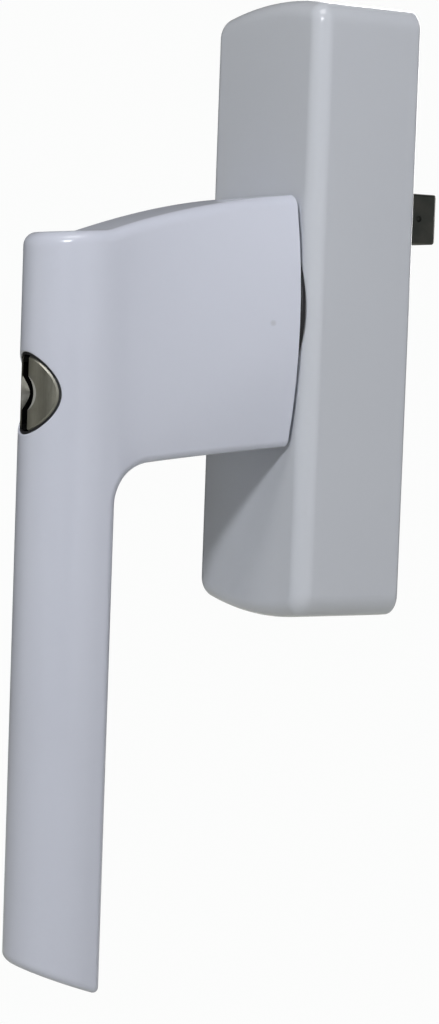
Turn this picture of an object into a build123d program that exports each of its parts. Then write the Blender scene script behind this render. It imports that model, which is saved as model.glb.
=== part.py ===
from build123d import *
import math
import os

# Key-lockable gear handle for a window. Millimetres.
# Origin on the lever's turning axis in the mounting plane, +Z up, -Y towards the room,
# X across the base. The lever hangs down, which is the closed position.

# ---- Driving dimensions ----------------------------------------------------------------
fit_gap = 0.05            # between fixed pieces that slip into each other
run_gap = 0.1             # between pieces that slide or turn past each other

base_width = 33.0
base_height = 96.0
base_depth = 18.3
base_wall = 2.0
base_arch = 1.6           # rise of the arched ends at mid width
base_corner = 3.4         # corner radius, seen from the front
base_edge = 2.6           # rounding round the front face
base_rim = 0.6            # rounding of the rim at the mounting plane

back_plate_thick = 1.5
slide_thick = 2.3
pinion_face = 5.3
cam_thick = 3.4
guide_thick = 1.2
rack_web = 1.5875
pinion_teeth = 16
pressure_angle = 25.0
tooth_backlash = 0.12

fixing_inset = 10.0       # from the base's end to a fixing hole
fixing_hole_radius = 2.75
fixing_thread_radius = 2.5
plate_screw_radius = 1.5
plate_screw_length = 12.0
plate_screw_head = 1.2    # height of the countersunk head
plate_screw_side = 4.5    # from the inner side wall to a plate screw
plate_screw_end = 5.5     # from the inner end wall to a plate screw

spindle_size = 7.0
spindle_socket = 17.0     # depth of the spindle in the lever
hub_radius = 6.25
hub_square = 12.5
cam_flats = 16.0
counterbore_depth = 3.0   # in the pinion's back, for the washer and the screw's head
counterbore_radius = 5.0
washer_radius = 4.7
washer_thick = 0.8
pinion_screw_length = 9.0
pinion_screw_head = 1.9
bush_wall = 1.5
bush_flange = 0.8
spring_wire = 1.4

dog_size = 8.0
dog_reach = 12.4          # how far the dog stands out of the mounting plane
dog_screw_radius = 2.0
dog_screw_length = 10.0
dog_screw_head = 1.9
dog_mark_radius = 0.5     # of the small mark on the dog's right face

lever_projection = 57.7   # front of the lever from the mounting plane
grip_width = 16.6
grip_thick = 12.2
nose_depth = 9.9          # of the half-oval front, from the lever's front to its widest
shoulder_depth = 10.3     # from the lever's front to where the neck's top meets the nose
grip_back_round = 1.2
grip_end_front = 100.6    # below the axis, at the front of the slanted end
grip_end_back = 105.0     # below the axis, at the back of the slanted end
neck_top = 17.7           # at the base end
neck_bottom = -20.8
neck_half_width = 15.4
neck_bulge_radius = 72.0  # of the sides, at the base end
neck_front_top = 10.6     # at the nose
neck_front_bottom = -24.4 # where the underside would meet the grip's back
neck_inner_round = 6.5
neck_crown = 0.9          # rise of the top edge above a straight line
collar_thick = 0.6
collar_radius = 15.6

lock_offset = 13.75       # lock axis below the turning axis
lock_recess = 0.3         # of the lock's face behind the lever's front
plug_chamfer = 0.3
dish_radius = 2.8         # of the conical dish round the keyway
dish_depth = 1.95
lock_ring_wall = 0.4
lock_ring_deep = 5.7
barrel_radius = 6.0
barrel_wall = 1.0
barrel_length = 20.7      # from the lever's front
lock_ring_radius = barrel_radius + 0.2
keyway_width = 2.0
keyway_height = 9.3
keyway_body_height = 7.4
wafer_count = 5
wafer_pitch = 2.3
wafer_thick = 1.0
wafer_width = 5.0
wafer_window = 2.4        # width of the window that the key passes
drum_radius = 3.0
drum_length = 8.1
drum_wall = 0.85          # left under the drum's groove, measured outside its middle
drum_screw_radius = 1.0
set_screw_radius = 1.5
set_screw_length = 1.7
bolt_radius = 4.5
bolt_nose_radius = 2.5
bolt_throw = 4.0
bolt_clear = 0.5          # of the nose in the base's lock holes
follower_radius = 1.0

# ---- Derived places --------------------------------------------------------------------
half_width = base_width / 2
half_height = base_height / 2
inner_half = half_width - base_wall
inner_end = half_height - base_wall
front_inside = -(base_depth - base_wall)
plate_front = -back_plate_thick
slide_back = plate_front - run_gap
slide_front = slide_back - slide_thick
pinion_back = slide_front - 3 * run_gap
pinion_front = pinion_back - pinion_face
cam_front = pinion_front - cam_thick
case_front_wall = cam_front - run_gap - bush_flange
neck_end = -(base_depth + collar_thick + run_gap)

rack_back = inner_half - fit_gap - guide_thick - run_gap
module = (rack_back - rack_web) / (pinion_teeth / 2 + 1.25)
pitch_radius = module * pinion_teeth / 2
stroke = math.pi * pitch_radius
dog_rest = stroke / 2
rack_half = stroke / 2 + 1.1 * module * 3.5
slide_half = dog_size / 2 + 4.0
slide_left = -slide_half
fixing_z = half_height - fixing_inset
post_radius = 2 * plate_screw_radius
post_end = pinion_front
hub_end = -base_depth - collar_thick + 0.2
hub_shoulder = pinion_back - counterbore_depth

nose_center = -lever_projection + nose_depth
grip_back = -lever_projection + grip_thick
spindle_front = neck_end - spindle_socket
barrel_front = -lever_projection + lock_ring_deep
barrel_back = -lever_projection + barrel_length
plug_radius = barrel_radius - barrel_wall - fit_gap
plug_head_radius = lock_ring_radius - lock_ring_wall - fit_gap
bolt_tip = neck_end - 0.3
bolt_front = barrel_back + 0.3
drum_back = barrel_back + drum_length
follower_y = barrel_back + 1.8
cavity_back = drum_back + 1.3
sleeve_back = cavity_back + 2.0


# ---- Helpers ---------------------------------------------------------------------------
def block(x, y, z):
    """Box between two values on each axis."""
    size = [high - low for low, high in (x, y, z)]
    middle = [(high + low) / 2 for low, high in (x, y, z)]
    return Pos(*middle) * Box(*size)


def rod(radius, start, end, x=0.0, z=0.0):
    """Cylinder along Y."""
    return Pos(x, (start + end) / 2, z) * Rot(90, 0, 0) * Cylinder(radius, abs(end - start))


def prism(sketch, start, end):
    """Extrude a sketch drawn in X and Z from Y=start towards the front, Y=end."""
    return Pos(0, start, 0) * extrude(Plane.XZ * sketch, start - end)


def save(part, node):
    """Write one node; a list stays a group of separate solids."""
    solids = part if isinstance(part, list) else part.solids()
    shape = Compound(children=list(solids)) if len(solids) > 1 else solids[0]
    shape.label = node
    export_step(shape, f"parts/{node}.step")


def slotted_screw(radius, length, head_radius, head_height):
    """Cheese-head screw on Z: thread below Z=0, head above it."""
    head = Pos(0, 0, head_height / 2) * Cylinder(head_radius, head_height)
    head = fillet(head.edges().filter_by(GeomType.CIRCLE).group_by(Axis.Z)[-1], 0.2)
    thread = Pos(0, 0, -length / 2) * Cylinder(radius, length)
    slot = Pos(0, 0, head_height) * Box(2.5 * head_radius, 0.3 * head_radius, head_height)
    return head + thread - slot


def flush_screw(radius, length, head_radius, head_height):
    """Countersunk screw on Z: head from Z=0 downwards, with a hexagon socket."""
    head = Pos(0, 0, -head_height / 2) * Cone(radius, head_radius, head_height)
    thread = Pos(0, 0, -length / 2) * Cylinder(radius, length)
    socket = extrude(RegularPolygon(0.45 * head_radius, 6), -0.6 * head_height)
    return head + thread - socket


# ---- Base ------------------------------------------------------------------------------
def base_outline(inset):
    """Arched outline of the base, drawn in X and Z, moved inwards by inset."""
    x, z = half_width - inset, half_height - inset
    side = z - base_arch * (x / half_width) ** 2
    top = ThreePointArc((x, side), (0, z), (-x, side))
    left = Line((-x, side), (-x, -side))
    bottom = ThreePointArc((-x, -side), (0, -z), (x, -side))
    right = Line((x, -side), (x, side))
    face = make_face(Curve() + [top, left, bottom, right])
    return fillet(face.vertices(), max(base_corner - inset, 1.0))


def screw_places():
    """X and Z of the back plate's screws."""
    x, z = inner_half - plate_screw_side, inner_end - plate_screw_end
    return [(sx * x, sz * z) for sx in (-1, 1) for sz in (-1, 1)]


def lock_holes(start, end):
    """Where the locking bolt enters, with the lever down and up."""
    return [rod(bolt_nose_radius + bolt_clear, start, end, 0, z) for z in (-lock_offset, lock_offset)]


def make_base_cover():
    shell = prism(base_outline(0), 0, -base_depth)
    shell = fillet(shell.edges().group_by(Axis.Y)[0], base_edge)
    shell = fillet(shell.edges().group_by(Axis.Y)[-1], base_rim)
    shell -= prism(base_outline(base_wall), 0, front_inside)
    for x, z in screw_places():
        shell += rod(post_radius, front_inside, post_end, x, z)
        shell -= rod(plate_screw_radius, plate_front - plate_screw_length, post_end, x, z)
    shell -= rod(hub_radius + bush_wall, front_inside + 1, -base_depth - 1)
    for hole in lock_holes(front_inside + 1, -base_depth - 1):
        shell -= hole
    return shell


def make_gear_case():
    case = prism(base_outline(base_wall + fit_gap), plate_front, front_inside)
    right = inner_half
    case -= block((slide_left - 4, right), (pinion_front - run_gap, 0),
                  (-(dog_rest + slide_half + 1), dog_rest + slide_half + 1))
    case -= block((pitch_radius - 2 * module, right), (pinion_front - run_gap, 0),
                  (-(dog_rest + rack_half + 1), dog_rest + rack_half + 1))
    spring_room = cam_flats / 2 + 2.2 * spring_wire
    case -= block((-spring_room - 1, spring_room + 1), (case_front_wall, 0), (-dog_rest - 4, dog_rest + 12))
    case -= rod(hub_radius + bush_wall, case_front_wall + 1, front_inside - 1)
    for hole in lock_holes(case_front_wall + 1, front_inside - 1):
        case -= hole
    for x, z in screw_places():
        case -= rod(plate_screw_radius, 0, front_inside - 1, x, z)
        case -= rod(post_radius + fit_gap, post_end + fit_gap, front_inside - 1, x, z)
    for z in (-fixing_z, fixing_z):
        case -= rod(fixing_thread_radius, 0, front_inside + 2, 0, z)
    return case


def make_back_plate():
    plate = prism(base_outline(base_wall + 2 * fit_gap), 0, plate_front)
    slot = RectangleRounded(dog_size + 0.6, stroke + dog_size + 0.6, 0.5)
    plate -= prism(slot, 1, plate_front - 1)
    for z in (-fixing_z, fixing_z):
        plate -= rod(fixing_hole_radius, 1, plate_front - 1, 0, z)
    for x, z in screw_places():
        plate -= Pos(x, 0, z) * Rot(-90, 0, 0) * plate_screw_room()
        plate -= Pos(x, 0, z) * Rot(-90, 0, 0) * Pos(0, 0, -1) * Cylinder(plate_screw_radius, 4)
    return plate


def plate_screw_room():
    """Room for a back plate screw's head, on Z, flush at Z=0."""
    middle = Pos(0, 0, -plate_screw_head / 2)
    return middle * Cone(plate_screw_radius, 1.8 * plate_screw_radius, plate_screw_head)


def make_back_plate_screws():
    one = flush_screw(plate_screw_radius, plate_screw_length, 1.8 * plate_screw_radius, plate_screw_head)
    return [(Pos(x, 0, z) * Rot(-90, 0, 0) * one).solids()[0] for x, z in screw_places()]


def make_bearing_bush():
    body = rod(hub_radius + bush_wall, case_front_wall, -base_depth)
    flange = rod(hub_radius + 2 * bush_wall, case_front_wall + bush_flange, case_front_wall)
    return body + flange - rod(hub_radius + fit_gap, 0, -base_depth - 1)


def make_neck_collar():
    front = -base_depth - collar_thick
    ring = rod(collar_radius, -base_depth, front)
    ring = chamfer(ring.edges().group_by(Axis.Y)[0], 0.3 * collar_thick)
    ring -= rod(hub_radius + fit_gap, 0, front - 1)
    for hole in lock_holes(0, front - 1):
        ring -= hole
    return ring


def make_rack_guide():
    low = inner_half - fit_gap - guide_thick
    z = dog_rest + rack_half
    return block((low, inner_half - fit_gap), (pinion_front, plate_front), (-z, z))


def make_detent_spring():
    """Hairpin of round wire whose two legs press on the index cam's flats."""
    y = (pinion_front + cam_front) / 2
    x = (cam_flats + spring_wire) / 2
    low, high = -dog_rest - 2, dog_rest
    leg_a = Line((x, low), (x, high))
    bend = ThreePointArc((x, high), (0, high + x), (-x, high))
    leg_b = Line((-x, high), (-x, low))
    path = Pos(0, y, 0) * (Plane.XZ * Wire([leg_a, bend, leg_b]))
    start = Plane(origin=(x, y, low), z_dir=(0, 0, 1))
    return sweep(start * Circle(spring_wire / 2), path=path)


# ---- Driver ----------------------------------------------------------------------------
def involute(angle):
    return math.tan(angle) - angle


def polar(radius, angle):
    return radius * math.cos(angle), radius * math.sin(angle)


def gear_outline():
    """Involute pinion outline, drawn in X and Z, with a tooth on +X."""
    base_radius = pitch_radius * math.cos(math.radians(pressure_angle))
    tip = pitch_radius + module
    root = pitch_radius - 1.25 * module
    half_tooth = (math.pi * module / 2 - tooth_backlash) / 2 / pitch_radius
    pitch_turn = half_tooth + involute(math.radians(pressure_angle))
    radii = [base_radius + (tip - base_radius) * k / 4 for k in range(5)]
    flank = [(r, pitch_turn - involute(math.acos(base_radius / r))) for r in radii]
    outline = []
    for tooth in range(pinion_teeth):
        turn = 2 * math.pi * tooth / pinion_teeth
        gap = 2 * math.pi / pinion_teeth
        lower = Spline([polar(r, turn - a) for r, a in flank])
        upper = Spline([polar(r, turn + a) for r, a in reversed(flank)])
        outline += [Line(polar(root, turn - pitch_turn), lower @ 0), lower]
        outline += [Line(lower @ 1, upper @ 0), upper]
        outline += [Line(upper @ 1, polar(root, turn + pitch_turn))]
        outline += [Line(polar(root, turn + pitch_turn), polar(root, turn + gap - pitch_turn))]
    return make_face(Curve() + outline)


def make_pinion():
    gear = prism(gear_outline(), pinion_back, pinion_front)
    square = prism(Rectangle(hub_square, hub_square), pinion_front, cam_front)
    gear += square & rod(1.28 * hub_square / 2, cam_front, pinion_front)
    gear += rod(hub_radius, cam_front, hub_end)
    gear -= prism(Rectangle(spindle_size + fit_gap, spindle_size + fit_gap), hub_shoulder, hub_end - 1)
    return gear - rod(counterbore_radius, pinion_back + 1, hub_shoulder)


def make_index_cam():
    cam = prism(Rectangle(cam_flats, cam_flats), pinion_front, cam_front)
    cam &= rod(1.22 * cam_flats / 2, pinion_front, cam_front)
    hole = Rectangle(hub_square + fit_gap, hub_square + fit_gap)
    return cam - prism(hole, pinion_front + 1, cam_front - 1)


def make_pinion_washer():
    ring = rod(washer_radius, hub_shoulder + washer_thick, hub_shoulder)
    return ring - rod(dog_screw_radius + fit_gap, hub_shoulder + 1, hub_shoulder - 1)


def make_pinion_screw():
    screw = slotted_screw(dog_screw_radius, pinion_screw_length, 3.5, pinion_screw_head)
    return Pos(0, hub_shoulder + washer_thick, 0) * Rot(-90, 0, 0) * screw


def make_drive_slide():
    """Slide plate and rack in one piece, at its rest place."""
    plate = block((slide_left, rack_back), (slide_front, slide_back),
                  (dog_rest - slide_half, dog_rest + slide_half))
    web = block((rack_back - rack_web, rack_back), (pinion_front, slide_back),
                (dog_rest - rack_half, dog_rest + rack_half))
    slide = plate + web
    pitch = math.pi * module
    slope = math.tan(math.radians(pressure_angle))
    half = (pitch / 2 - tooth_backlash) / 2
    tip, root = pitch_radius - module, rack_back - rack_web
    for step in range(-20, 20):
        z = (step + 0.5) * pitch
        if abs(z - dog_rest) > rack_half - pitch / 2:
            continue
        narrow = half - (pitch_radius - tip) * slope
        wide = half + (root - pitch_radius) * slope
        corners = [(tip, z - narrow), (tip, z + narrow), (root, z + wide)]
        corners += [(root + 0.5, z + wide), (root + 0.5, z - wide), (root, z - wide)]
        slide += prism(make_face(Polyline(*corners, close=True)), slide_back, pinion_front)
    cone = Cone(dog_screw_radius, 1.85 * dog_screw_radius, dog_screw_head)
    head = Pos(0, slide_front, dog_rest) * Rot(90, 0, 0) * Pos(0, 0, -dog_screw_head / 2) * cone
    return slide - head - rod(dog_screw_radius, 0, slide_front - 1, 0, dog_rest)


def make_drive_dog():
    half = dog_size / 2
    dog = block((-half, half), (slide_back, dog_reach), (dog_rest - half, dog_rest + half))
    dog = chamfer(dog.edges().group_by(Axis.Y)[-1], 0.5)
    dog = fillet(dog.edges().filter_by(Axis.Y), 0.5)
    dog -= rod(dog_screw_radius, slide_back - 1, slide_front + dog_screw_length, 0, dog_rest)
    return dog - Pos(half, dog_reach - 3.4, dog_rest) * Sphere(dog_mark_radius)


def make_dog_screw():
    one = flush_screw(dog_screw_radius, dog_screw_length, 1.85 * dog_screw_radius, dog_screw_head)
    return Pos(0, slide_front, dog_rest) * Rot(90, 0, 0) * one


# ---- Lever -----------------------------------------------------------------------------
def lever_profile():
    """Side outline of the lever, drawn in Y and Z and extruded both ways."""
    back = Line((neck_end, neck_bottom), (neck_end, neck_top))
    front_line = -lever_projection - 1
    shoulder = -lever_projection + shoulder_depth
    middle = (neck_end + shoulder) / 2, (neck_top + neck_front_top + 0.4) / 2 + neck_crown
    slope = ThreePointArc(back @ 1, middle, (shoulder, neck_front_top + 0.4))
    nose = Line(slope @ 1, (front_line, neck_front_top - 0.3))
    front = Line(nose @ 1, (front_line, -grip_end_front + 0.6))
    end = Line(front @ 1, (grip_back, -grip_end_back))
    grip = Line(end @ 1, (grip_back, neck_front_bottom))
    under = Line(grip @ 1, back @ 0)
    face = make_face(Curve() + [back, slope, nose, front, end, grip, under])
    face = fillet([v for v in face.vertices() if abs(v.X - shoulder) < 0.01], 12)
    inner = [v for v in face.vertices() if abs(v.X - grip_back) < 0.01 and v.Y > neck_front_bottom - 1]
    face = fillet(inner, neck_inner_round)
    heel = [v for v in face.vertices() if abs(v.X - grip_back) < 0.01 and v.Y < -grip_end_front]
    face = fillet(heel, grip_back_round)
    return extrude(Plane.YZ * face, 2 * neck_half_width, both=True)


flare_start = grip_back + 0.5


def neck_section(y):
    """Cross-section of the flaring neck at Y=y; its sides bow out towards the base."""
    share = (y - flare_start) / (neck_end - flare_start)
    half = grip_width / 2 + (neck_half_width - grip_width / 2) * share ** 1.6
    middle = (neck_top + neck_bottom) / 2
    top, low = neck_top + 9 - middle, neck_front_bottom - 18 - middle

    def width_at(z):
        return half - z * z * share / neck_bulge_radius / 2

    def side(sign):
        ends = (sign * width_at(top), middle + top), (sign * width_at(low), middle + low)
        return ThreePointArc(ends[0], (sign * half, middle), ends[1]) if share > 0 else Line(*ends)

    right, left = side(1), side(-1)
    edges = [right, Line(right @ 1, left @ 1), left, Line(left @ 0, right @ 0)]
    return Pos(0, y, 0) * (Plane.XZ * make_face(Curve() + edges))


def oval_column(inset, low, high):
    """Upright half-oval front of the lever, moved inwards by inset."""
    oval = Ellipse(grip_width / 2 - inset, nose_depth - inset)
    return Pos(0, nose_center, low) * extrude(oval, high - low)


def lever_blank():
    """The lever's outer form, before any bore."""
    steps = (0, 0.2, 0.45, 0.72, 1)
    neck = loft([neck_section(flare_start + s * (neck_end - flare_start)) for s in steps])
    low, high = -grip_end_back - 5, neck_top + 9
    nose = oval_column(0, low, high)
    grip = block((-grip_width / 2, grip_width / 2), (nose_center, flare_start), (low, high))
    return lever_profile() & (neck + nose + grip)


def make_lever(blank):
    z = -lock_offset
    half = spindle_size / 2
    lever = blank - block((-half, half), (spindle_front, 0), (-half, half))
    lever -= rod(lock_ring_radius, -lever_projection - 1, barrel_front, 0, z)
    lever -= rod(barrel_radius, barrel_front, barrel_back, 0, z)
    lever -= rod(bolt_radius + fit_gap, barrel_back, sleeve_back + bolt_throw + 0.2, 0, z)
    lever -= rod(bolt_nose_radius + run_gap, barrel_back, 0, 0, z)
    lever -= block((-follower_radius - fit_gap, follower_radius + fit_gap),
                   (barrel_back, follower_y + bolt_throw + follower_radius + 0.2),
                   (z, z + bolt_radius + 0.95))
    lever -= spindle_pin_shape()
    return lever - set_screw_shape()


spindle_pin_y = neck_end - 0.55 * spindle_socket


def spindle_pin_shape():
    """Blind cross pin, driven in from the lever's left side."""
    side = neck_half_width * 0.66
    return Pos(-side / 2 + 1.5, spindle_pin_y, 0) * Rot(0, 90, 0) * Cylinder(1.5, side + 3)


def make_spindle_pin():
    pin = spindle_pin_shape()
    return chamfer(pin.edges().group_by(Axis.X)[0], 0.3)


def make_lever_spindle():
    half = spindle_size / 2
    bar = block((-half, half), (spindle_front, hub_shoulder - 0.1), (-half, half))
    bar -= rod(dog_screw_radius, 0, hub_shoulder + washer_thick - pinion_screw_length)
    return bar - spindle_pin_shape()


set_screw_y = barrel_back - 3.0


def set_screw_shape():
    """Seat of the set screw, from the barrel's side into the grip."""
    start = -lock_offset - barrel_radius + 0.3
    return Pos(0, set_screw_y, start - 2.5) * Cylinder(set_screw_radius, 5.0)


def make_barrel_set_screw():
    start = -lock_offset - barrel_radius + 0.3
    screw = Pos(0, set_screw_y, start - set_screw_length / 2) * Cylinder(set_screw_radius, set_screw_length)
    socket = extrude(RegularPolygon(set_screw_radius / 2, 6), 1.0)
    return screw - Pos(0, set_screw_y, start - set_screw_length) * socket


# ---- Lock ------------------------------------------------------------------------------
def lock_face():
    """Upright column that gives the lock's face the curve of the lever's front."""
    reach = 2 * lock_ring_radius
    return oval_column(lock_recess, -lock_offset - reach, -lock_offset + reach)


def make_lock_ring():
    z = -lock_offset
    ring = rod(lock_ring_radius, -lever_projection - 1, barrel_front, 0, z)
    ring -= rod(lock_ring_radius - lock_ring_wall, -lever_projection - 2, 0, 0, z)
    return ring & lock_face()


def make_lock_barrel():
    z = -lock_offset
    barrel = rod(barrel_radius, barrel_front, barrel_back, 0, z)
    barrel -= rod(barrel_radius - barrel_wall, barrel_front - 1, 0, 0, z)
    barrel -= block((-wafer_width / 2 - 0.2, wafer_width / 2 + 0.2), (barrel_front + 0.8, barrel_back - 0.8),
                    (z, z + barrel_radius - 0.35))
    return barrel - set_screw_shape()


def wafer_places():
    first = barrel_front + 1.7
    return [first + wafer_pitch * k for k in range(wafer_count)]


tail_radius = 1.6
tail_end = drum_back - 2.1


def tail_shape(gap):
    """Flattened tail of the plug that carries the cam drum."""
    z = -lock_offset
    tail = rod(tail_radius + gap, barrel_back - 1, tail_end + gap, 0, z)
    return tail - block((-3, 3), (barrel_back - 0.2, 0), (z + 1.1 + gap, z + 4))


def make_lock_plug():
    z = -lock_offset
    head = rod(plug_head_radius, -lever_projection - 1, barrel_front - fit_gap, 0, z) & lock_face()
    head = chamfer(head.edges().sort_by(Axis.Y)[0], plug_chamfer)
    plug = head + rod(plug_radius, barrel_front - fit_gap, barrel_back - 0.3, 0, z) + tail_shape(0)
    slope = dish_radius / dish_depth
    face = -lever_projection + lock_recess
    dish = Cone(0.1, dish_radius + slope, dish_depth + 1)
    plug -= Pos(0, face + (dish_depth - 1) / 2, z) * Rot(90, 0, 0) * dish
    wide, deep = keyway_width / 2, barrel_front + 0.6
    plug -= block((-wide, wide), (-lever_projection - 1, deep),
                  (z - keyway_height / 2, z + keyway_height / 2))
    plug -= block((-wide, wide), (deep, barrel_back - 1.5),
                  (z - keyway_body_height / 2, z + keyway_body_height / 2))
    for y in wafer_places():
        half = wafer_width / 2 + fit_gap
        plug -= block((-half, half), (y - fit_gap, y + wafer_thick + fit_gap),
                      (z - barrel_radius, z + barrel_radius))
    return plug - rod(drum_screw_radius, tail_end - 4, 0, 0, z)


def make_lock_wafers():
    z = -lock_offset
    wafers = []
    for k, y in enumerate(wafer_places()):
        plate = block((-wafer_width / 2, wafer_width / 2), (y, y + wafer_thick),
                      (z - barrel_radius, z + barrel_radius))
        plate &= rod(plug_radius - 0.1, y, y + wafer_thick, 0, z)
        window = 0.3 * (k % 3 - 1)
        plate -= block((-wafer_window / 2, wafer_window / 2), (y - 1, y + 2),
                       (z - 2.9 + window, z + 2.9 + window))
        wafers += plate.solids()
    return wafers


def make_cam_drum():
    z = -lock_offset
    drum = rod(drum_radius, barrel_back + 0.1, drum_back, 0, z) - tail_shape(fit_gap)
    drum -= rod(drum_screw_radius + fit_gap, tail_end, 0, 0, z)
    steps = 18
    for k in range(steps + 1):
        cutter = Pos(0, 0, drum_radius + drum_wall) * Cylinder(follower_radius + 0.15, 4.0)
        y = follower_y + bolt_throw * k / steps
        drum -= Pos(0, y, z) * Rot(0, -180.0 * k / steps, 0) * cutter
    return drum


def make_drum_screw():
    screw = slotted_screw(drum_screw_radius, 5.0, 1.9 * drum_screw_radius, 0.9)
    return Pos(0, drum_back, -lock_offset) * Rot(-90, 0, 0) * screw


def make_locking_bolt():
    z = -lock_offset
    bolt = rod(bolt_radius, bolt_front, sleeve_back, 0, z)
    bolt += rod(bolt_nose_radius, sleeve_back, bolt_tip, 0, z)
    bolt = chamfer(bolt.edges().group_by(Axis.Y)[-1], 0.4)
    bolt -= rod(drum_radius + run_gap, bolt_front - 1, cavity_back, 0, z)
    return bolt - follower_shape()


def follower_shape():
    """Pin across the bolt's wall that runs in the drum's groove."""
    low, high = drum_radius - 0.9, bolt_radius + 0.8
    return Pos(0, follower_y, -lock_offset + (low + high) / 2) * Cylinder(follower_radius, high - low)


# ---- Build -----------------------------------------------------------------------------
os.makedirs("parts", exist_ok=True)
save(make_base_cover(), "base_cover")
save(make_gear_case(), "gear_case")
save(make_back_plate(), "back_plate")
save(make_back_plate_screws(), "back_plate_screws")
save(make_bearing_bush(), "bearing_bush")
save(make_neck_collar(), "neck_collar")
save(make_rack_guide(), "rack_guide")
save(make_detent_spring(), "detent_spring")
save(make_pinion(), "pinion")
save(make_index_cam(), "index_cam")
save(make_pinion_washer(), "pinion_washer")
save(make_pinion_screw(), "pinion_screw")
save(make_drive_slide(), "drive_slide")
save(make_drive_dog(), "drive_dog")
save(make_dog_screw(), "dog_screw")
save(make_lever(lever_blank()), "lever")
save(make_spindle_pin(), "spindle_pin")
save(make_lever_spindle(), "lever_spindle")
save(make_barrel_set_screw(), "barrel_set_screw")
save(make_lock_ring(), "lock_ring")
save(make_lock_barrel(), "lock_barrel")
save(make_lock_plug(), "lock_plug")
save(make_lock_wafers(), "lock_wafers")
save(make_cam_drum(), "cam_drum")
save(make_drum_screw(), "drum_screw")
save(make_locking_bolt(), "locking_bolt")
save(follower_shape(), "follower_pin")
print("module", round(module, 4), "pitch radius", round(pitch_radius, 4), "stroke", round(stroke, 4))
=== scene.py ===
import math
import bmesh
import bpy
from mathutils import Matrix, Vector


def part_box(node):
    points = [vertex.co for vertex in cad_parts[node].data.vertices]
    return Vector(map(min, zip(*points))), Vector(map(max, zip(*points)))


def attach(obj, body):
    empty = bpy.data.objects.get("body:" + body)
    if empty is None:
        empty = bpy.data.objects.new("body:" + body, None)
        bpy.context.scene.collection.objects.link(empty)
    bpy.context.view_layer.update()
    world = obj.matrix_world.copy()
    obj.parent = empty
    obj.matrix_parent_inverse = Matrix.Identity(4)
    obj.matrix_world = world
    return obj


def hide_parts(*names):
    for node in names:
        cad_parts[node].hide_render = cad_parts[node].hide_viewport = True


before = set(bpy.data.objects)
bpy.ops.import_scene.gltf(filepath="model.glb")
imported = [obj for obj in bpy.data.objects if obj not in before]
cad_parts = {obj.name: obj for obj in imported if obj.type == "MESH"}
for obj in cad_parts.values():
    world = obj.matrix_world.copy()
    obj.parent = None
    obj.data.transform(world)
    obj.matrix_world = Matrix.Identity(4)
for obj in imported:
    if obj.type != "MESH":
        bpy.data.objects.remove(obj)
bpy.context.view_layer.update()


# ---- Studio ----------------------------------------------------------------------------
# A plain pale floor that curves up all round, a small key light from the upper right front,
# a wide softbox on the right, weak fills, and a camera on the handle's right front.
def lamp(name, place, target, size, power, colour=(1, 1, 1)):
    """Square area light at place, aimed at target."""
    light = bpy.data.lights.new(name, "AREA")
    light.size = size
    light.energy = power
    light.color = colour
    obj = bpy.data.objects.new(name, light)
    obj.location = place
    aim = Vector(target) - Vector(place)
    obj.rotation_euler = aim.to_track_quat("-Z", "Y").to_euler()
    bpy.context.scene.collection.objects.link(obj)


middle = Vector((0, -0.03, -0.03))
stage_radius = 3.0
floor_height = -0.22
lamp("key", (0.30, -0.384, 0.222), middle, 0.054, 1.02, (0.97, 0.99, 1.04))
lamp("softbox", (0.95, 0.05, 0.10), middle, 0.9, 2.35, (0.98, 0.99, 1.06))
lamp("top_light", (0.16, -0.22, 0.45), middle, 0.2, 0.8)
lamp("back_fill", (-0.5, 0.6, 0.3), middle, 0.6, 7.0)
lamp("front_fill", (-0.35, -0.9, 0.05), middle, 0.5, 0.3)

world = bpy.data.worlds.new("studio")
world.use_nodes = True
sky = world.node_tree.nodes["Background"]
sky.inputs["Color"].default_value = (0.93, 0.96, 1.0, 1)
sky.inputs["Strength"].default_value = 0.30
bpy.context.scene.world = world
bpy.context.scene.view_settings.view_transform = "Standard"


def stage_material():
    """White to the camera, and a pale diffuse surface to the light."""
    made = bpy.data.materials.new("studio_floor")
    made.use_nodes = True
    tree = made.node_tree
    tree.nodes.clear()
    out = tree.nodes.new("ShaderNodeOutputMaterial")
    mix = tree.nodes.new("ShaderNodeMixShader")
    seen = tree.nodes.new("ShaderNodeLightPath")
    pale = tree.nodes.new("ShaderNodeBsdfDiffuse")
    pale.inputs["Color"].default_value = (0.56, 0.56, 0.52, 1)
    glow = tree.nodes.new("ShaderNodeEmission")
    glow.inputs["Color"].default_value = (0.972, 0.976, 0.972, 1)
    tree.links.new(seen.outputs["Is Camera Ray"], mix.inputs["Fac"])
    tree.links.new(pale.outputs[0], mix.inputs[1])
    tree.links.new(glow.outputs[0], mix.inputs[2])
    tree.links.new(mix.outputs[0], out.inputs["Surface"])
    return made


floor_mesh = bpy.data.meshes.new("studio_sweep")
bm = bmesh.new()
bmesh.ops.create_uvsphere(bm, u_segments=48, v_segments=24, radius=stage_radius)
bmesh.ops.bisect_plane(bm, geom=bm.verts[:] + bm.edges[:] + bm.faces[:],
                       plane_co=(0, 0, floor_height), plane_no=(0, 0, 1), clear_inner=True)
bmesh.ops.edgeloop_fill(bm, edges=[e for e in bm.edges if e.is_boundary])
bmesh.ops.reverse_faces(bm, faces=bm.faces[:])
bm.to_mesh(floor_mesh)
bm.free()
floor_mesh.materials.append(stage_material())
floor = bpy.data.objects.new("studio_sweep", floor_mesh)
floor.visible_shadow = False
bpy.context.scene.collection.objects.link(floor)

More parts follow.
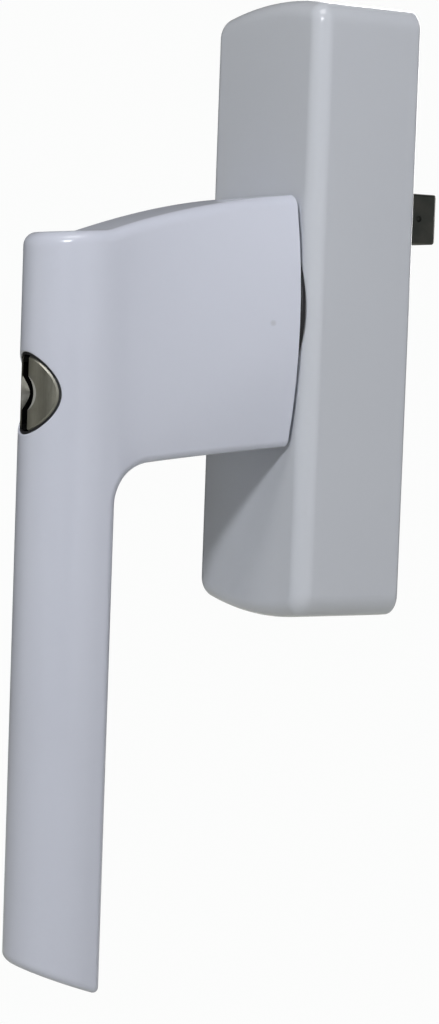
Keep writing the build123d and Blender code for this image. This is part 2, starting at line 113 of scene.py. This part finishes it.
azimuth, elevation, roll = math.radians(61.36), math.radians(4.11), math.radians(2.06)
distance, aside, lifted = 0.39745, -0.02166, -0.03174
back = Vector((math.sin(azimuth) * math.cos(elevation),
               -math.cos(azimuth) * math.cos(elevation), math.sin(elevation)))
level = Vector((math.cos(azimuth), math.sin(azimuth), 0))
upright = back.cross(level)
right = math.cos(roll) * level + math.sin(roll) * upright
up = math.cos(roll) * upright - math.sin(roll) * level
place = distance * back + aside * right + lifted * up
camera = bpy.data.objects.new("camera", bpy.data.cameras.new("camera"))
camera.data.lens = 86.86
camera.data.sensor_width = 36.0
camera.data.clip_start = 0.01
camera.matrix_world = Matrix.Translation(place) @ Matrix((right, up, back)).transposed().to_4x4()
bpy.context.scene.collection.objects.link(camera)
bpy.context.scene.camera = camera


# ---- Base cover ------------------------------------------------------------------------
# Deep box with arched ends and soft edges, pressure cast in zinc and powder coated white.
# It hides the gear case, and two screws from inside the window profile hold it.
def new_group(name, inputs, outputs):
    """Empty shader node group with float, colour or vector sockets."""
    kinds = {"f": "NodeSocketFloat", "c": "NodeSocketColor", "v": "NodeSocketVector"}
    group = bpy.data.node_groups.new(name, "ShaderNodeTree")
    for label, kind, value in inputs:
        socket = group.interface.new_socket(label, in_out="INPUT", socket_type=kinds[kind])
        socket.default_value = value
    for label, kind in outputs:
        group.interface.new_socket(label, in_out="OUTPUT", socket_type=kinds[kind])
    return group, group.nodes.new("NodeGroupInput"), group.nodes.new("NodeGroupOutput")


def add_node(tree, kind, **settings):
    """New node; settings that name a socket set its value or link to it."""
    node = tree.nodes.new(kind)
    for key, value in settings.items():
        if key in ("operation", "node_tree"):
            setattr(node, key, value)
            continue
        wanted = key.replace("_", " ")
        socket = next(s for s in node.inputs if s.name.lower() == wanted)
        if isinstance(value, bpy.types.NodeSocket):
            tree.links.new(value, socket)
        else:
            socket.default_value = value
    return node


def maths(tree, operation, first, second=0.0, third=0.0, clamp=False):
    """Output of a Math node on numbers or sockets."""
    node = tree.nodes.new("ShaderNodeMath")
    node.operation = operation
    node.use_clamp = clamp
    for socket, value in zip(node.inputs, (first, second, third)):
        if isinstance(value, bpy.types.NodeSocket):
            tree.links.new(value, socket)
        else:
            socket.default_value = value
    return node.outputs[0]


def blend_colours(tree, share, first, second):
    """Mix of two colours, numbers or sockets, by share."""
    node = tree.nodes.new("ShaderNodeMix")
    node.data_type = "RGBA"
    for index, value in ((0, share), (6, first), (7, second)):
        if isinstance(value, bpy.types.NodeSocket):
            tree.links.new(value, node.inputs[index])
        else:
            node.inputs[index].default_value = value
    return node.outputs[2]


def make_speck_group():
    """Sparse small dots, as dust under a coat or pits in a casting."""
    group, into, out = new_group(
        "specks",
        [("Position", "v", (0, 0, 0)), ("Per Metre", "f", 90.0), ("Size", "f", 0.05),
         ("Share", "f", 0.3)],
        [("Mask", "f")])
    edge_hardness = 40.0
    cells = add_node(group, "ShaderNodeTexVoronoi", vector=into.outputs[0], scale=into.outputs[1])
    edge = maths(group, "SUBTRACT", into.outputs[2], cells.outputs["Distance"])
    dots = maths(group, "MULTIPLY", edge, edge_hardness, clamp=True)
    split = add_node(group, "ShaderNodeSeparateColor", color=cells.outputs["Color"])
    chosen = maths(group, "LESS_THAN", split.outputs[0], into.outputs[3])
    group.links.new(maths(group, "MULTIPLY", dots, chosen), out.inputs[0])


def make_coat_group():
    """Powder coat: slight tone drift, a fine flowed texture, and specks of dust."""
    group, into, out = new_group(
        "powder_coat",
        [("Position", "v", (0, 0, 0)), ("Colour", "c", (0.8, 0.8, 0.8, 1)),
         ("Gloss Drift", "f", 0.05), ("Flow", "f", 0.25), ("Dust", "f", 0.35)],
        [("Colour", "c"), ("Roughness", "f"), ("Height", "f")])
    place, colour, drift, flow, dust = into.outputs[:5]
    dust_grey = (0.30, 0.30, 0.31, 1)
    tone_range, tone_floor, smoothest = 0.05, 0.975, 0.19
    dust_rough, dust_pit, wide_share = 0.3, 0.5, 1.6
    slow = add_node(group, "ShaderNodeTexNoise", vector=place, scale=38.0, detail=2.0)
    fine = add_node(group, "ShaderNodeTexNoise", vector=place, scale=1500.0, detail=1.0)
    wide = add_node(group, "ShaderNodeTexNoise", vector=place, scale=420.0, detail=1.0)
    dots = add_node(group, "ShaderNodeGroup", node_tree=bpy.data.node_groups["specks"])
    group.links.new(place, dots.inputs["Position"])
    shade = maths(group, "MULTIPLY_ADD", slow.outputs["Fac"], tone_range, tone_floor)
    dull = add_node(group, "ShaderNodeVectorMath", operation="SCALE")
    group.links.new(colour, dull.inputs[0])
    group.links.new(shade, dull.inputs["Scale"])
    mask = maths(group, "MULTIPLY", dots.outputs[0], dust)
    tint = blend_colours(group, mask, dull.outputs[0], dust_grey)
    group.links.new(tint, out.inputs[0])
    gloss = maths(group, "MULTIPLY_ADD", slow.outputs["Fac"], drift, smoothest)
    rough = maths(group, "ADD", gloss, maths(group, "MULTIPLY", mask, dust_rough))
    group.links.new(rough, out.inputs[1])
    peel = maths(group, "MULTIPLY_ADD", wide.outputs["Fac"], wide_share, fine.outputs["Fac"])
    peel = maths(group, "MULTIPLY", peel, flow)
    pitted = maths(group, "SUBTRACT", peel, maths(group, "MULTIPLY", mask, dust_pit))
    group.links.new(pitted, out.inputs[2])


make_speck_group()
make_coat_group()


def start_material(name, metallic, roughness):
    """New material, its node tree, its Principled shader and its Object coordinates."""
    made = bpy.data.materials.new(name)
    made.use_nodes = True
    tree = made.node_tree
    shader = tree.nodes["Principled BSDF"]
    shader.inputs["Metallic"].default_value = metallic
    shader.inputs["Roughness"].default_value = roughness
    place = tree.nodes.new("ShaderNodeTexCoord").outputs["Object"]
    return made, tree, shader, place


def bump_into(tree, shader, height, depth):
    """Feed a height, of the depth given in metres, to the shader's normal."""
    bump = add_node(tree, "ShaderNodeBump", height=height, strength=1.0, distance=depth)
    tree.links.new(bump.outputs[0], shader.inputs["Normal"])


MM = 0.001
coat_depth = 0.03 * MM


def coated(name, colour, dust):
    """White powder coat in the colour given, with its share of dust."""
    made, tree, shader, place = start_material(name, 0.0, 0.3)
    coat = add_node(tree, "ShaderNodeGroup", node_tree=bpy.data.node_groups["powder_coat"])
    coat.inputs["Colour"].default_value = colour
    coat.inputs["Dust"].default_value = dust
    tree.links.new(place, coat.inputs["Position"])
    tree.links.new(coat.outputs["Colour"], shader.inputs["Base Color"])
    tree.links.new(coat.outputs["Roughness"], shader.inputs["Roughness"])
    bump_into(tree, shader, coat.outputs["Height"], coat_depth)
    shader.inputs["Specular IOR Level"].default_value = 0.45
    return made


def dress(node, material):
    """Give a CAD node its finished material."""
    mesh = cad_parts[node].data
    mesh.materials.clear()
    mesh.materials.append(material)


base_white = coated("white_coat_base", (0.67, 0.69, 0.73, 1), 0.2)
dress("base_cover", base_white)


# ---- Lever -----------------------------------------------------------------------------
# One zinc casting, powder coated: a flaring neck that bows out at its sides, a round nose,
# and a flat grip with a half-round front that ends in a slant. The lock is let into the nose.
lever_low, lever_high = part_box("lever")
ring_low, ring_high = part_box("lock_ring")
barrel_low, barrel_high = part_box("lock_barrel")
follower_low, follower_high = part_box("follower_pin")
lock_z = (ring_low.z + ring_high.z) / 2

nose_half = 8.3 * MM
nose_depth = 9.9 * MM
nose_top = 10.6 * MM
nose_lift = 0.4 * MM
nose_fall = 0.07
shoulder_depth = 10.3 * MM
grip_thickness = 12.2 * MM
neck_bottom = -20.8 * MM
corner_bottom = -24.4 * MM
top_crown = 0.9 * MM
top_round = 1.9 * MM
low_round = 1.2 * MM
inner_round = 6.5 * MM
end_slope = 4.4 / 12.2
end_margin = 0.3 * MM
bow_radius = 72.0 * MM
flare_power = 1.6

front = lever_low.y
neck_end = lever_high.y
neck_top = lever_high.z
neck_half = lever_high.x
nose_line = front + nose_depth
grip_back = front + grip_thickness
flare_start = grip_back + 0.5 * MM
neck_middle = (neck_top + neck_bottom) / 2
end_angle = math.pi / 2 - math.atan(end_slope)
end_back = lever_low.z - low_round * (1 / math.tan(end_angle / 2) - 1)
end_front = end_back + grip_thickness * end_slope


def top_line(y):
    """Height of the lever's top edge at y."""
    shoulder, low_end = front + shoulder_depth, nose_top + nose_lift
    if y > shoulder:
        share = (y - shoulder) / (neck_end - shoulder)
        return low_end + share * (neck_top - low_end) + 4 * top_crown * share * (1 - share)
    return low_end - nose_fall * (shoulder - y)


def inset(depth, radius):
    """How far a rounded edge stands in, at a depth below its face."""
    lack = max(0.0, radius - depth)
    return radius - math.sqrt(max(0.0, radius * radius - lack * lack))


def half_width_at(y, z, from_inner, from_end):
    """Half the lever's width at a point of its side view."""
    lack = math.hypot(max(0.0, low_round - from_inner), max(0.0, low_round - from_end))
    taken = inset(top_line(y) - z, top_round) + inset(low_round - lack, low_round)
    if y < nose_line:
        share = (nose_line - y) / (nose_depth - taken)
        return (nose_half - taken) * math.sqrt(max(0.0, 1 - share * share))
    share = max(0.0, (y - flare_start) / (neck_end - flare_start))
    wide = nose_half + (neck_half - nose_half) * share ** flare_power
    return wide - (z - neck_middle) ** 2 * share / bow_radius / 2 - taken


slope = (corner_bottom - neck_bottom) / (grip_back - neck_end)
normal = Vector((0, -slope, 1)).normalized()
pivot = Vector((0, grip_back + inner_round, 0))
pivot.z = neck_bottom + slope * (pivot.y - neck_end) - inner_round / normal.z
arc_start = pivot + inner_round * normal


def nose_edge(inner, way, reach):
    """Where a line from the inner edge meets the front of the nose, found by halving."""
    near, beyond = 0.7 * reach, 1.04 * reach
    for _ in range(40):
        point = inner + way * (near + beyond) / 2
        if nose_line - point.y < nose_depth - inset(top_line(point.y) - point.z, top_round):
            near = (near + beyond) / 2
        else:
            beyond = (near + beyond) / 2
    return inner + way * near


far_from_end = 1.0
line_gap = 1.2 * MM
neck_lines, top_lines, corner_lines, front_lines, grip_lines, end_lines = 16, 13, 8, 40, 24, 6


def neck_rays():
    """Lines across the neck, from its lower edge to its upper edge, base end first."""
    for k in range(neck_lines):
        inner = Vector((0, neck_end, neck_bottom)).lerp(arc_start, k / neck_lines)
        way = Vector((0, 0, 1)).lerp(normal, k / neck_lines)
        y = inner.y
        for _ in range(8):
            y = inner.y + way.y / way.z * (top_line(y) - inner.z)
        yield inner, Vector((0, y, top_line(y))), far_from_end, 0.0, top_round


def bend_rays(first_y):
    """Lines that fan out from the neck's inner round to the top, corner and front."""
    corner_y = front + top_round
    corner_z = top_line(corner_y) - top_round
    targets = []
    for k in range(top_lines):
        y = first_y + (corner_y - first_y) * k / top_lines
        targets.append((Vector((0, y, top_line(y))), top_round))
    for k in range(corner_lines + 1):
        turn = math.radians(90 * k / corner_lines)
        arc = Vector((0, -math.sin(turn), math.cos(turn))) * top_round
        zone = top_round + (nose_depth - top_round) * k / corner_lines
        targets.append((Vector((0, corner_y, corner_z)) + arc, zone))
    for k in range(1, front_lines + 1):
        z = corner_z + (pivot.z - corner_z) * k / front_lines
        targets.append((Vector((0, front, z)), nose_depth))
    for target, zone in targets:
        way = (target - pivot).normalized()
        inner = pivot + inner_round * way
        if zone > top_round or target.y < corner_y + 1e-9:
            target = nose_edge(inner, way, (target - inner).length)
        yield inner, target, far_from_end, 0.0, zone


def grip_rays(start_in, start_out):
    """Lines across the grip, down to its slanted end and round the end's edge."""
    lift = Vector((0, 0, math.sqrt(1 + end_slope ** 2)))
    last_in = Vector((0, grip_back, end_back)) + lift * (low_round + end_margin)
    last_out = Vector((0, front, end_front)) + lift * (low_round + end_margin)
    for k in range(1, grip_lines + 1):
        share = k / grip_lines
        yield (start_in.lerp(last_in, share), start_out.lerp(last_out, share), far_from_end, 0.0,
               nose_depth)
    for k in range(end_lines + 1):
        depth = low_round * (1 - math.sin(math.radians(90 * k / end_lines)))
        taken = inset(depth, low_round)
        inner = Vector((0, grip_back - taken, end_back + taken * end_slope)) + lift * depth
        outer = Vector((0, front + taken, end_front - taken * end_slope)) + lift * depth
        yield inner, outer, depth, taken, nose_depth


def rays():
    """Lines across the side view, from the inner edge to the outer edge, base end first.

    Each is its two ends, its distance from the slanted end, what the end's rounding takes
    off it, and the length of its outer stretch where the surface turns fastest.
    """
    lines = list(neck_rays())
    lines += bend_rays(lines[-1][1].y - line_gap)
    lines += grip_rays(*lines[-1][:2])
    return lines


inner_columns, side_columns, nose_columns = 9, 8, 14
inner_share, longest_share = 1.02, 0.7
thinnest = 0.05 * MM
weld = 0.02 * MM


def column_spots(length, zone):
    """Distances of a line's points from its inner end, close together where it turns."""
    start, finish = low_round * inner_share, min(zone, longest_share * length)
    spots = [start * (1 - math.cos(math.radians(90 * k / inner_columns)))
             for k in range(inner_columns)]
    spots += [start + (length - start - finish) * k / side_columns for k in range(side_columns)]
    spots += [length - finish * (1 - math.sin(math.radians(90 * k / nose_columns)))
              for k in range(nose_columns + 1)]
    return spots


def build_lever():
    """Right half bent from a grid, with a flat strip in to the middle, then mirrored."""
    lines = rays()
    across = inner_columns + side_columns + nose_columns
    bm = bmesh.new()
    bmesh.ops.create_grid(bm, x_segments=len(lines) - 1, y_segments=across, size=1)
    ordered = sorted(bm.verts, key=lambda v: (round(v.co.x, 5), round(v.co.y, 5)))
    rows = [ordered[k:k + across + 1] for k in range(0, len(ordered), across + 1)]
    for (inner, outer, depth, taken, zone), row in zip(lines, rows):
        length = (outer - inner).length
        for vert, spot in zip(row, column_spots(length, zone)):
            point = inner.lerp(outer, spot / length)
            point.x = half_width_at(point.y, point.z, spot + taken, depth)
            if vert is not row[-1]:
                point.x = max(point.x, thinnest)
            elif zone > top_round:
                point.x = 0
            vert.co = point
    open_edges = [e for e in bm.edges if e.is_boundary and max(v.co.x for v in e.verts) > 0]
    for grown in bmesh.ops.extrude_edge_only(bm, edges=open_edges)["geom"]:
        if isinstance(grown, bmesh.types.BMVert):
            grown.co.x = 0
    bmesh.ops.remove_doubles(bm, verts=bm.verts[:], dist=weld)
    bmesh.ops.mirror(bm, geom=bm.verts[:] + bm.edges[:] + bm.faces[:], axis="X", merge_dist=weld)
    bmesh.ops.remove_doubles(bm, verts=bm.verts[:], dist=weld)
    bmesh.ops.dissolve_degenerate(bm, edges=bm.edges[:], dist=weld / 4)
    bmesh.ops.recalc_face_normals(bm, faces=bm.faces[:])
    mesh = bpy.data.meshes.new("lever_casting")
    bm.to_mesh(mesh)
    bm.free()
    return mesh


def make_object(name, mesh, material=None):
    """Object at the origin with its place in its mesh."""
    obj = bpy.data.objects.new(name, mesh)
    bpy.context.scene.collection.objects.link(obj)
    if material:
        mesh.materials.append(material)
    return obj


rim_round = 0.3 * MM
rim_steps = 4
past_face = 4 * MM
ring_bore = (ring_high.x - ring_low.x) / 2
barrel_bore = barrel_high.x + 0.05 * MM
bolt_bore = follower_high.z - lock_z + 0.15 * MM
bolt_bore_end = barrel_high.y + 15.6 * MM
bolt_nose_bore = 2.6 * MM


def bores():
    """Solid shape of the bores for the bolt, the barrel and the lock's face, from the neck's
    end to the nose, where the rim is rounded as it follows the nose."""
    straight = [(bolt_nose_bore, neck_end + MM), (bolt_nose_bore, bolt_bore_end),
                (bolt_bore, bolt_bore_end), (bolt_bore, barrel_high.y),
                (barrel_bore, barrel_high.y), (barrel_bore, ring_high.y),
                (ring_bore, ring_high.y)]
    turns = [math.radians(90 * k / rim_steps) for k in range(rim_steps + 1)]
    rims = [(ring_bore + rim_round * (1 - math.cos(t)), rim_round * (1 - math.sin(t)))
            for t in turns]
    rims.append((ring_bore + rim_round, -past_face))
    bm = bmesh.new()
    made = bmesh.ops.create_circle(bm, cap_ends=True, segments=128, radius=ring_bore,
                                   matrix=Matrix.Rotation(math.pi / 2, 4, "X"))
    loop = list(made["verts"])
    circle = [(v.co.x / ring_bore, v.co.z / ring_bore) for v in loop]
    for number, (wide, place) in enumerate(straight + rims):
        if number:
            edges = [e for e in bm.edges if all(v in loop for v in e.verts)]
            grown = bmesh.ops.extrude_edge_only(bm, edges=edges)["geom"]
            new = [g for g in grown if isinstance(g, bmesh.types.BMVert)]
            order = {min(range(len(loop)), key=lambda k: (loop[k].co - v.co).length): v
                     for v in new}
            loop = [order[k] for k in range(len(loop))]
        for vert, (cx, cz) in zip(loop, circle):
            x, y = wide * cx, place
            if number >= len(straight):
                y += nose_line - nose_depth * math.sqrt(1 - (x / nose_half) ** 2)
            vert.co = (x, y, lock_z + wide * cz)
    bmesh.ops.edgeloop_fill(bm, edges=[e for e in bm.edges if e.is_boundary])
    bmesh.ops.recalc_face_normals(bm, faces=bm.faces[:])
    mesh = bpy.data.meshes.new("lever_bores")
    bm.to_mesh(mesh)
    bm.free()
    return mesh


def cut_away(obj, tool_mesh):
    """Take a shape out of a piece and keep the result as its mesh."""
    tool = make_object("cutter", tool_mesh)
    cut = obj.modifiers.new("cut", "BOOLEAN")
    cut.operation = "DIFFERENCE"
    cut.solver = "EXACT"
    cut.object = tool
    bpy.context.view_layer.update()
    finished = obj.evaluated_get(bpy.context.evaluated_depsgraph_get())
    result = bpy.data.meshes.new_from_object(finished)
    obj.modifiers.clear()
    obj.data = result
    bpy.data.objects.remove(tool)


sharp_from = math.radians(32)
lever_white = coated("white_coat_lever", (0.68, 0.70, 0.78, 1), 0.35)
lever = make_object("lever_casting", build_lever(), lever_white)
cut_away(lever, bores())
lever.data.shade_smooth()
lever.data.set_sharp_from_angle(angle=sharp_from)
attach(lever, "lever")
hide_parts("lever")


# ---- Lock: ring, barrel and set screw ---------------------------------------------------
# The lock sits in a bore in the nose. A black ring of moulded plastic closes the gap round
# its face, and a set screw from the grip side holds the nickel-plated barrel.
def make_metal_group():
    """Worked metal or moulding: a grain stretched one way, and patches of dull film."""
    group, into, out = new_group(
        "worked_skin",
        [("Position", "v", (0, 0, 0)), ("Stretch", "v", (1, 1, 1)), ("Per Metre", "f", 2000.0),
         ("Colour", "c", (0.5, 0.5, 0.5, 1)), ("Film", "c", (0.3, 0.3, 0.3, 1)),
         ("Film Share", "f", 0.4), ("Polish", "f", 0.3), ("Grain", "f", 0.1)],
        [("Colour", "c"), ("Roughness", "f"), ("Height", "f")])
    place, stretch, scale, colour, film, share, polish, grain = into.outputs[:8]
    patch_edge, patch_start, film_rough = 4.0, -1.6, 0.18
    tone_range, tone_floor = 0.36, 0.82
    pulled = add_node(group, "ShaderNodeVectorMath", operation="MULTIPLY")
    group.links.new(place, pulled.inputs[0])
    group.links.new(stretch, pulled.inputs[1])
    lines = add_node(group, "ShaderNodeTexNoise", vector=pulled.outputs[0], scale=scale, detail=3.0)
    slow = add_node(group, "ShaderNodeTexNoise", vector=place, scale=210.0, detail=4.0)
    patch = maths(group, "MULTIPLY_ADD", slow.outputs["Fac"], patch_edge, patch_start, clamp=True)
    patch = maths(group, "MULTIPLY", patch, share)
    tint = blend_colours(group, patch, colour, film)
    shade = maths(group, "MULTIPLY_ADD", lines.outputs["Fac"], tone_range, tone_floor)
    dull = add_node(group, "ShaderNodeVectorMath", operation="SCALE")
    group.links.new(tint, dull.inputs[0])
    group.links.new(shade, dull.inputs["Scale"])
    group.links.new(dull.outputs[0], out.inputs[0])
    rough = maths(group, "MULTIPLY_ADD", lines.outputs["Fac"], grain, polish)
    group.links.new(maths(group, "MULTIPLY_ADD", patch, film_rough, rough), out.inputs[1])
    group.links.new(lines.outputs["Fac"], out.inputs[2])


make_metal_group()


def worked(name, metallic, colour, film, share, polish, grain, stretch, per_metre, depth):
    """Metal or moulded material with its own grain, film and polish."""
    made, tree, shader, place = start_material(name, metallic, polish)
    skin = add_node(tree, "ShaderNodeGroup", node_tree=bpy.data.node_groups["worked_skin"])
    tree.links.new(place, skin.inputs["Position"])
    values = {"Stretch": stretch, "Per Metre": per_metre, "Colour": (*colour, 1),
              "Film": (*film, 1), "Film Share": share, "Polish": polish, "Grain": grain}
    for label, value in values.items():
        skin.inputs[label].default_value = value
    tree.links.new(skin.outputs["Colour"], shader.inputs["Base Color"])
    tree.links.new(skin.outputs["Roughness"], shader.inputs["Roughness"])
    bump_into(tree, shader, skin.outputs["Height"], depth)
    return made


black_ring = worked("black_moulding", 0.0, (0.012, 0.012, 0.013), (0.03, 0.03, 0.03),
                    0.5, 0.42, 0.15, (1, 1, 1), 2600.0, 0.00001)
barrel_nickel = worked("turned_nickel", 1.0, (0.62, 0.60, 0.55), (0.40, 0.38, 0.33),
                       0.5, 0.26, 0.15, (1, 12, 1), 500.0, 0.000006)
black_screw = worked("blackened_screw", 1.0, (0.10, 0.10, 0.10), (0.05, 0.045, 0.04),
                     0.6, 0.38, 0.2, (1, 1, 1), 1500.0, 0.00001)
dress("lock_ring", black_ring)
dress("lock_barrel", barrel_nickel)
dress("barrel_set_screw", black_screw)


# ---- Lock: plug and wafers --------------------------------------------------------------
# The plug turns in the barrel with the key. Its face is nickel plated, brushed upright and
# dished round the keyway; flat brass wafers cross the keyway and stand at key height.
plug_face = worked("brushed_nickel", 1.0, (0.40, 0.39, 0.33), (0.26, 0.255, 0.20),
                   0.55, 0.30, 0.16, (1, 1, 0.06), 5200.0, 0.000008)
wafer_brass = worked("pressed_brass", 1.0, (0.62, 0.44, 0.17), (0.30, 0.21, 0.09),
                     0.6, 0.30, 0.2, (1, 0.2, 1), 2200.0, 0.000008)


dish_radius = 2.78 * MM
keyway_half = 1.01 * MM
# The dish colour is partly bare turned metal and partly a painted highlight of the key light.
dish_metal_and_highlight = (0.78, 0.77, 0.72, 1)
# The keyway colour is painted shade: near black for the walls of the dark slot.
keyway_painted_shade = (0.006, 0.006, 0.006, 1)


def paint_plug_highlight_and_shade(made, dish_rough=-0.06, keyway_rough=0.4):
    """Lighten the dish, partly bare metal and partly painted highlight; paint shade black in the
    keyway.
    """
    tree = made.node_tree
    shader = tree.nodes["Principled BSDF"]
    place = next(n for n in tree.nodes if n.type == "TEX_COORD").outputs["Object"]
    axes = add_node(tree, "ShaderNodeSeparateXYZ", vector=place)
    x, z = axes.outputs[0], maths(tree, "SUBTRACT", axes.outputs[2], lock_z)
    square = maths(tree, "MULTIPLY_ADD", x, x, maths(tree, "MULTIPLY", z, z))
    dish = maths(tree, "LESS_THAN", square, dish_radius * dish_radius)
    keyway = maths(tree, "LESS_THAN", maths(tree, "ABSOLUTE", x), keyway_half)
    skin = shader.inputs["Base Color"].links[0].from_socket
    rough = shader.inputs["Roughness"].links[0].from_socket
    # Painted highlight: the dish is lightened, partly for its bare turned metal.
    tint = blend_colours(tree, dish, skin, dish_metal_and_highlight)
    # Painted shade: the keyway's walls go near black.
    tint = blend_colours(tree, keyway, tint, keyway_painted_shade)
    tree.links.new(tint, shader.inputs["Base Color"])
    smooth = maths(tree, "MULTIPLY_ADD", dish, dish_rough, rough)
    dull = maths(tree, "MULTIPLY_ADD", keyway, keyway_rough, smooth)
    tree.links.new(dull, shader.inputs["Roughness"])


paint_plug_highlight_and_shade(plug_face)
dress("lock_plug", plug_face)
dress("lock_wafers", wafer_brass)


# ---- Lock: drum, bolt and follower ------------------------------------------------------
# A steel drum on the plug's tail has a helical groove. The follower pin in the bolt's wall
# runs in it, so turning the key drives the round bolt straight into the base.
drum_steel = worked("ground_steel", 1.0, (0.50, 0.50, 0.50), (0.30, 0.28, 0.25),
                    0.4, 0.28, 0.2, (1, 8, 1), 700.0, 0.000008)
for node in ("cam_drum", "locking_bolt", "follower_pin"):
    dress(node, drum_steel)
small_screw = worked("screw_steel", 1.0, (0.46, 0.46, 0.47), (0.26, 0.25, 0.24),
                     0.5, 0.30, 0.2, (1, 6, 1), 900.0, 0.000008)
dress("drum_screw", small_screw)


# ---- Spindle and its pin ---------------------------------------------------------------
# A square steel bar, zinc plated, is pressed into the neck and held by a cross pin. It
# carries the lever's turn into the base.
plated_steel = worked("zinc_plate", 1.0, (0.60, 0.61, 0.63), (0.44, 0.45, 0.43),
                      0.7, 0.30, 0.18, (1, 1, 0.5), 1300.0, 0.000012)
dress("lever_spindle", plated_steel)
dress("spindle_pin", drum_steel)


# ---- Neck collar and bearing bush ------------------------------------------------------
# A thin black disc of moulded plastic fills the joint between lever and base. A bush of the
# same plastic lines the base's front, and the hub turns in it.
dress("neck_collar", black_ring)
bush_black = worked("bush_moulding", 0.0, (0.02, 0.02, 0.021), (0.05, 0.05, 0.05),
                    0.4, 0.36, 0.12, (1, 10, 1), 400.0, 0.00001)
dress("bearing_bush", bush_black)


# ---- Gear case, rack guide and spring --------------------------------------------------
# A grey zinc casting fills the cover and carries the works. A plastic strip guides the
# rack, and a hairpin of spring wire clicks on the index cam at each quarter turn.
cast_zinc = worked("cast_zinc", 1.0, (0.42, 0.43, 0.44), (0.30, 0.30, 0.31),
                   0.7, 0.44, 0.2, (1, 1, 1), 1100.0, 0.00004)
dress("gear_case", cast_zinc)
dress("rack_guide", bush_black)
wire_steel = worked("spring_wire", 1.0, (0.30, 0.29, 0.28), (0.16, 0.14, 0.12),
                    0.6, 0.26, 0.16, (1, 1, 0.1), 3000.0, 0.000006)
dress("detent_spring", wire_steel)


# ---- Pinion, index cam, washer and screw -----------------------------------------------
# The steel pinion's hub takes the spindle, and the screw on the spindle's end holds both
# together through the washer. The index cam is a pressed square with rounded corners.
cut_steel = worked("cut_steel", 1.0, (0.44, 0.44, 0.45), (0.24, 0.22, 0.19),
                   0.5, 0.30, 0.18, (1, 0.08, 1), 2600.0, 0.000008)
dress("pinion", cut_steel)
dress("index_cam", cut_steel)
dress("pinion_washer", plated_steel)
dress("pinion_screw", small_screw)


# ---- Drive slide, dog and its screw ----------------------------------------------------
# The slide with its rack runs up and down behind the plate. The square dog, screwed to it,
# is steel under a worn dark phosphate skin, and drives the window's own fittings.
dog_black = worked("phosphate_steel", 0.75, (0.072, 0.077, 0.068), (0.17, 0.165, 0.14),
                   0.4, 0.44, 0.25, (1, 1, 1), 1500.0, 0.00003)
dress("drive_slide", plated_steel)
dress("drive_dog", dog_black)
dress("dog_screw", small_screw)


# ---- Back plate and its screws ---------------------------------------------------------
# A stamped steel plate, zinc plated, closes the base and bears on the window. Four
# countersunk screws go through the gear case into posts in the cover.
stamped_plate = worked("stamped_zinc_plate", 1.0, (0.58, 0.60, 0.62), (0.47, 0.47, 0.42),
                       0.8, 0.34, 0.2, (1, 1, 0.12), 1500.0, 0.000015)
dress("back_plate", stamped_plate)
dress("back_plate_screws", small_screw)
